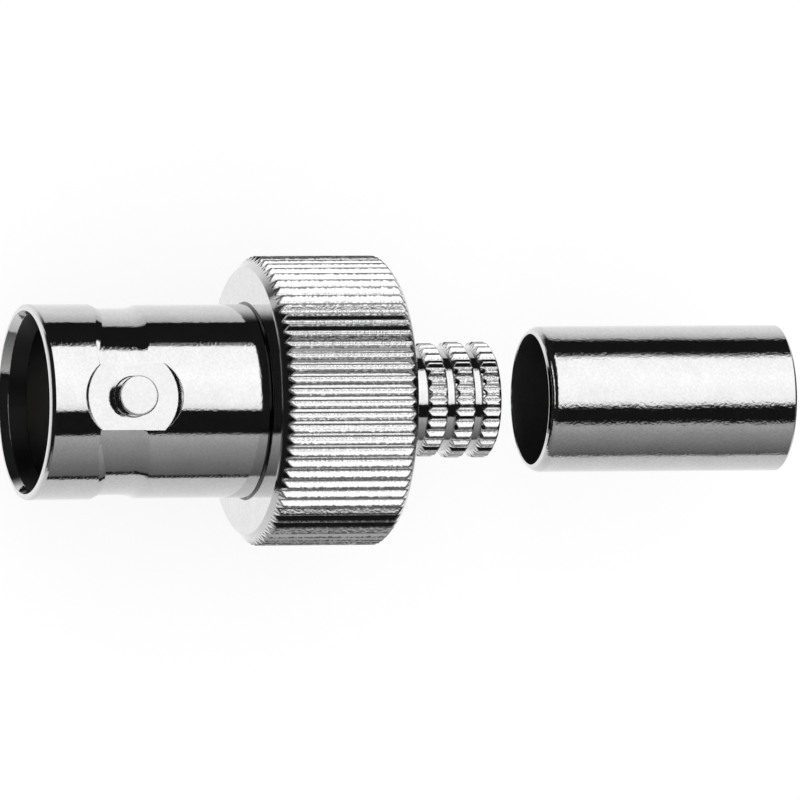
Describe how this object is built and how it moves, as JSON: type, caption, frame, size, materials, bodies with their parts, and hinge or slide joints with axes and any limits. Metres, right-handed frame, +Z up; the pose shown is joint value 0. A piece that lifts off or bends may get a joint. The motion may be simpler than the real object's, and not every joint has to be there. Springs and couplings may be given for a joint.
{
  "type": "bnc connector",
  "caption": "Coaxial bayonet cable jack: tubular barrel with round lugs, knurled collar, knurled crimp stem, and a loose crimp ferrule on the same axis.",
  "frame": {"origin": "centre of the mating plane, the flat ring at the barrel's mouth", "axes": "+X along the connector's axis from the mouth towards the cable end, +Z up through one of the two bayonet lugs; the connector is held by the plug at its mating plane, because on its round knurled collar it would roll"},
  "size_m": [0.039, 0.0144, 0.0144],
  "materials": {
    "nickel": "bright nickel plate on turned brass",
    "ptfe": "machined white fluoropolymer",
    "gold": "gold flash on turned brass"
  },
  "bodies": {
    "connector": {"shell": "nickel", "front_dielectric": "ptfe", "socket_contact": "gold", "rear_dielectric": "ptfe", "crimp_stem": "nickel"},
    "ferrule": {"crimp_ferrule": "nickel"}
  },
  "joints": [
    {"name": "ferrule_slide", "type": "slide", "parent": "connector", "child": "ferrule", "axis": [1, 0, 0], "range_m": [-0.0077, 0]}
  ]
}
